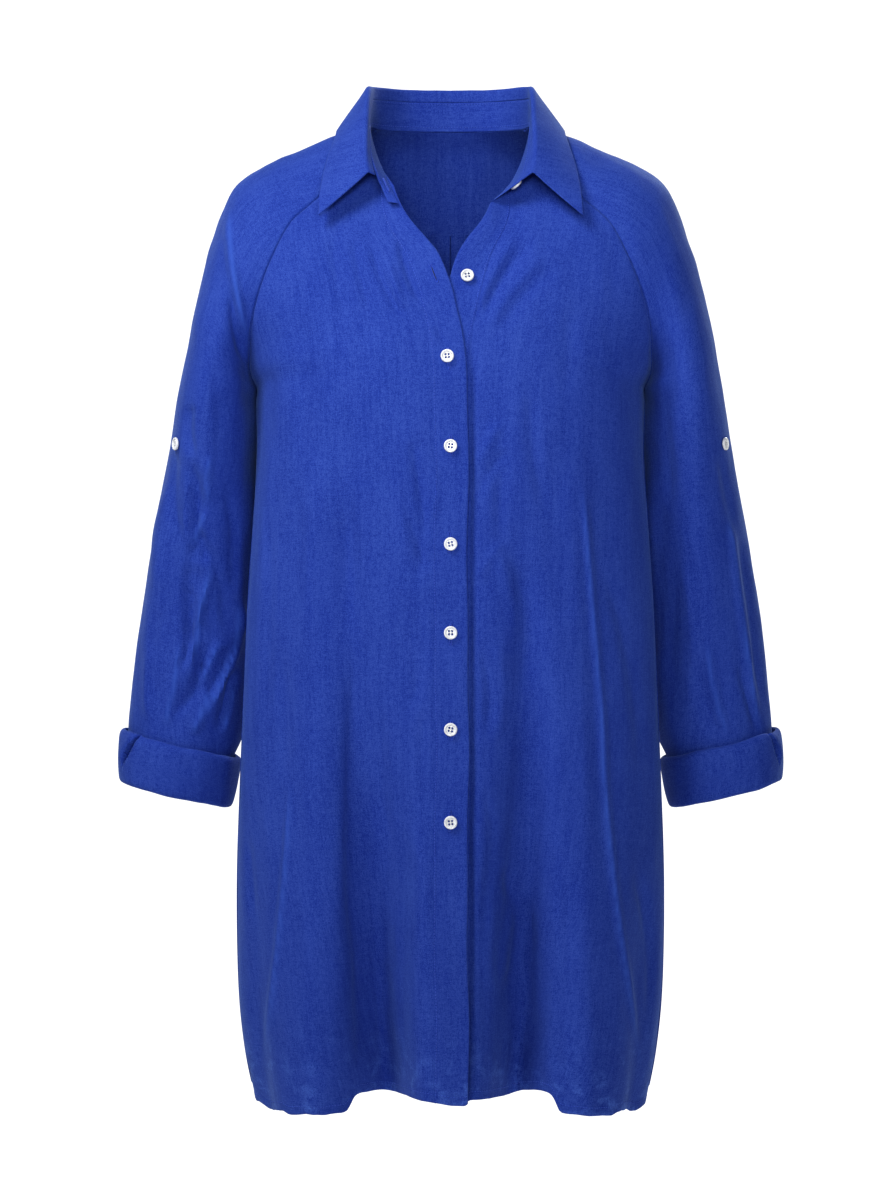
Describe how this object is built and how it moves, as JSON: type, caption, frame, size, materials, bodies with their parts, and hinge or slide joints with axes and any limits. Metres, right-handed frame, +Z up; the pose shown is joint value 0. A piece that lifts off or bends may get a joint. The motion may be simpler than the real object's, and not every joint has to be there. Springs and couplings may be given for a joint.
{
  "type": "oversized shirt",
  "caption": "Loose thigh-length linen shirt, filled out and hollow, with raglan sleeves, open pointed collar, buttoned front band and turned-up cuffs.",
  "frame": {"origin": "middle of the neck opening, level with the top of the shoulders, where the wearer holds the shirt up", "axes": "+Z up towards the collar, -Y the buttoned front, +X the wearer's left"},
  "size_m": [0.6286, 0.2479, 0.9476],
  "materials": {
    "linen": "matte cobalt-blue slub linen",
    "button": "white, soft gloss"
  },
  "bodies": {
    "root": {"front_right": "linen", "front_left": "linen", "front_band_right": "linen", "front_band_left": "linen", "back_yoke": "linen", "back": "linen", "sleeve_right": "linen", "sleeve_left": "linen", "cuff_right": "linen", "cuff_left": "linen", "collar_stand": "linen", "collar_leaf": "linen", "button_front_1": "button", "button_front_2": "button", "button_front_3": "button", "button_front_4": "button", "button_front_5": "button", "button_front_6": "button", "button_front_7": "button", "button_stand": "button", "button_sleeve_right": "button", "button_sleeve_left": "button"}
  },
  "joints": []
}
